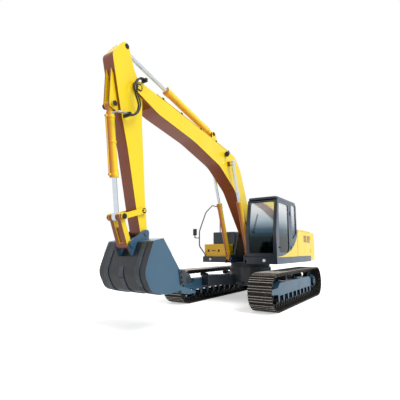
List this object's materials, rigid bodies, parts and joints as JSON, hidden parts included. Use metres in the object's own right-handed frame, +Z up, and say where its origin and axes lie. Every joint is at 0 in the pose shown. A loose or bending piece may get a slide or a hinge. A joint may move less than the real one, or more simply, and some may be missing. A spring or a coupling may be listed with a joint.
{
  "type": "crawler excavator",
  "caption": "Crawler excavator with a swinging upper body, a cab, a bent boom, an arm and a toothed bucket worked by hydraulic cylinders.",
  "frame": {"origin": "on the ground plane of the track shoes, under the swing axis, midway between the tracks", "axes": "+X to the machine's left, where the cab stands; +Y to its rear; +Z up"},
  "size_m": [3.16, 8.8877, 5.346],
  "materials": {
    "yellow_paint": "satin body paint",
    "navy_paint": "satin paint",
    "slate_paint": "satin paint",
    "track_steel": "worn steel",
    "dark_steel": "dark machined steel",
    "chrome_rod": "polished hard chrome",
    "cab_glass": "clear glass",
    "seat_cloth": "woven cover",
    "black_plastic": "moulded grain",
    "lamp_glass": "lamp lens"
  },
  "bodies": {
    "undercarriage": {"car_body": "slate_paint", "side_frame_left": "slate_paint", "side_frame_right": "slate_paint", "track_left": "track_steel", "track_right": "track_steel", "track_rollers": "dark_steel", "carrier_rollers": "dark_steel", "idlers": "dark_steel", "sprockets": "dark_steel", "final_drives": "slate_paint", "swing_bearing": "dark_steel"},
    "upper": {"revolving_frame": "navy_paint", "counterweight": "yellow_paint", "lifting_lugs": "yellow_paint", "body_frame": "yellow_paint", "engine_block": "dark_steel", "tool_box": "yellow_paint", "fuel_tank": "navy_paint", "cab_frame": "navy_paint", "cab_roof": "navy_paint", "cab_windows": "cab_glass", "windscreen": "cab_glass", "seat": "seat_cloth", "consoles": "black_plastic", "handrail": "dark_steel", "mirror": "black_plastic", "front_lamps": "lamp_glass", "exhaust": "dark_steel"},
    "engine_hood": {"engine_hood": "yellow_paint"},
    "side_door_left": {"side_door_left": "yellow_paint"},
    "side_door_right": {"side_door_right": "yellow_paint"},
    "tool_box_lid": {"tool_box_lid": "yellow_paint"},
    "cab_door": {"cab_door": "navy_paint", "door_glass": "cab_glass"},
    "boom": {"boom": "yellow_paint", "boom_lamp": "black_plastic"},
    "boom_barrel_left": {"boom_cylinder_left_barrel": "yellow_paint"},
    "boom_rod_left": {"boom_cylinder_left_rod": "chrome_rod"},
    "boom_barrel_right": {"boom_cylinder_right_barrel": "yellow_paint"},
    "boom_rod_right": {"boom_cylinder_right_rod": "chrome_rod"},
    "arm_barrel": {"arm_cylinder_barrel": "yellow_paint"},
    "arm_rod": {"arm_cylinder_rod": "chrome_rod"},
    "arm": {"arm": "yellow_paint"},
    "bucket_barrel": {"bucket_cylinder_barrel": "yellow_paint"},
    "bucket_rod": {"bucket_cylinder_rod": "chrome_rod"},
    "idler_links": {"idler_links": "yellow_paint"},
    "h_link": {"h_link": "yellow_paint"},
    "bucket": {"bucket": "slate_paint", "bucket_teeth": "slate_paint"}
  },
  "joints": [
    {"name": "swing", "type": "hinge", "parent": "undercarriage", "child": "upper", "pos_m": [0, 0, 1.09], "axis": [0, 0, 1], "continuous": true},
    {"name": "boom", "type": "hinge", "parent": "upper", "child": "boom", "pos_m": [0, -0.24, 1.96], "axis": [-1, 0, 0], "range_deg": [-63, 36]},
    {"name": "arm", "type": "hinge", "parent": "boom", "child": "arm", "pos_m": [0, -5.3, 4.54], "axis": [1, 0, 0], "range_deg": [-92, 20]},
    {"name": "bucket", "type": "hinge", "parent": "arm", "child": "bucket", "pos_m": [0, -5, 1.76], "axis": [1, 0, 0], "range_deg": [-76, 88]},
    {"name": "cab_door", "type": "hinge", "parent": "upper", "child": "cab_door", "pos_m": [1.356, -0.072, 1.4], "axis": [0, 0, 1], "range_deg": [0, 165]},
    {"name": "engine_hood", "type": "hinge", "parent": "upper", "child": "engine_hood", "pos_m": [0, 0.903, 2.112], "axis": [1, 0, 0], "range_deg": [0, 70]},
    {"name": "side_door_left", "type": "hinge", "parent": "upper", "child": "side_door_left", "pos_m": [1.356, 2.078, 1.7], "axis": [0, 0, 1], "range_deg": [0, 110]},
    {"name": "side_door_right", "type": "hinge", "parent": "upper", "child": "side_door_right", "pos_m": [-1.356, 2.078, 1.7], "axis": [0, 0, -1], "range_deg": [0, 110]},
    {"name": "tool_box_lid", "type": "hinge", "parent": "upper", "child": "tool_box_lid", "pos_m": [-0.935, -0.112, 1.664], "axis": [-1, 0, 0], "range_deg": [0, 75]},
    {"name": "boom_barrel_left", "type": "hinge", "parent": "upper", "child": "boom_barrel_left", "pos_m": [0.325, -0.812, 1.22], "axis": [1, 0, 0], "range_deg": [-31.85, 55.37]},
    {"name": "boom_rod_left", "type": "slide", "parent": "boom_barrel_left", "child": "boom_rod_left", "axis": [0, -0.3247, 0.9458], "range_m": [-0.9195, 0.5263]},
    {"name": "boom_barrel_right", "type": "hinge", "parent": "upper", "child": "boom_barrel_right", "pos_m": [-0.325, -0.812, 1.22], "axis": [1, 0, 0], "range_deg": [-31.85, 55.37]},
    {"name": "boom_rod_right", "type": "slide", "parent": "boom_barrel_right", "child": "boom_rod_right", "axis": [0, -0.3247, 0.9458], "range_m": [-0.9195, 0.5263]},
    {"name": "arm_barrel", "type": "hinge", "parent": "boom", "child": "arm_barrel", "pos_m": [0, -2.33, 4.565], "axis": [1, 0, 0], "range_deg": [-1.1, 3.26]},
    {"name": "arm_rod", "type": "slide", "parent": "arm_barrel", "child": "arm_rod", "axis": [0, -0.9782, 0.2079], "range_m": [-1.1334, 0.248]},
    {"name": "bucket_barrel", "type": "hinge", "parent": "arm", "child": "bucket_barrel", "pos_m": [0, -5.83, 4.02], "axis": [1, 0, 0], "range_deg": [-3.39, 3.84]},
    {"name": "bucket_rod", "type": "slide", "parent": "bucket_barrel", "child": "bucket_rod", "axis": [0, 0.1344, -0.9909], "range_m": [-0.4453, 0.5153]},
    {"name": "idler_links", "type": "hinge", "parent": "arm", "child": "idler_links", "pos_m": [0, -5.06, 2.18], "axis": [1, 0, 0], "range_deg": [-55.98, 64.74]},
    {"name": "h_link", "type": "hinge", "parent": "idler_links", "child": "h_link", "pos_m": [0, -5.56, 2.03], "axis": [1, 0, 0], "range_deg": [-47.14, 40.78]}
  ],
  "couplings": [
    {"joint": "boom_barrel_left", "follows": "boom", "ratio": -0.8709},
    {"joint": "boom_rod_left", "follows": "boom", "m_per_rad": 0.8344},
    {"joint": "boom_barrel_right", "follows": "boom", "ratio": -0.8709},
    {"joint": "boom_rod_right", "follows": "boom", "m_per_rad": 0.8344},
    {"joint": "arm_barrel", "follows": "arm", "ratio": -0.03},
    {"joint": "arm_rod", "follows": "arm", "m_per_rad": 0.7046},
    {"joint": "bucket_barrel", "follows": "bucket", "ratio": 0.038},
    {"joint": "bucket_rod", "follows": "bucket", "m_per_rad": 0.3342},
    {"joint": "idler_links", "follows": "bucket", "ratio": 0.73},
    {"joint": "h_link", "follows": "bucket", "ratio": -0.53}
  ]
}
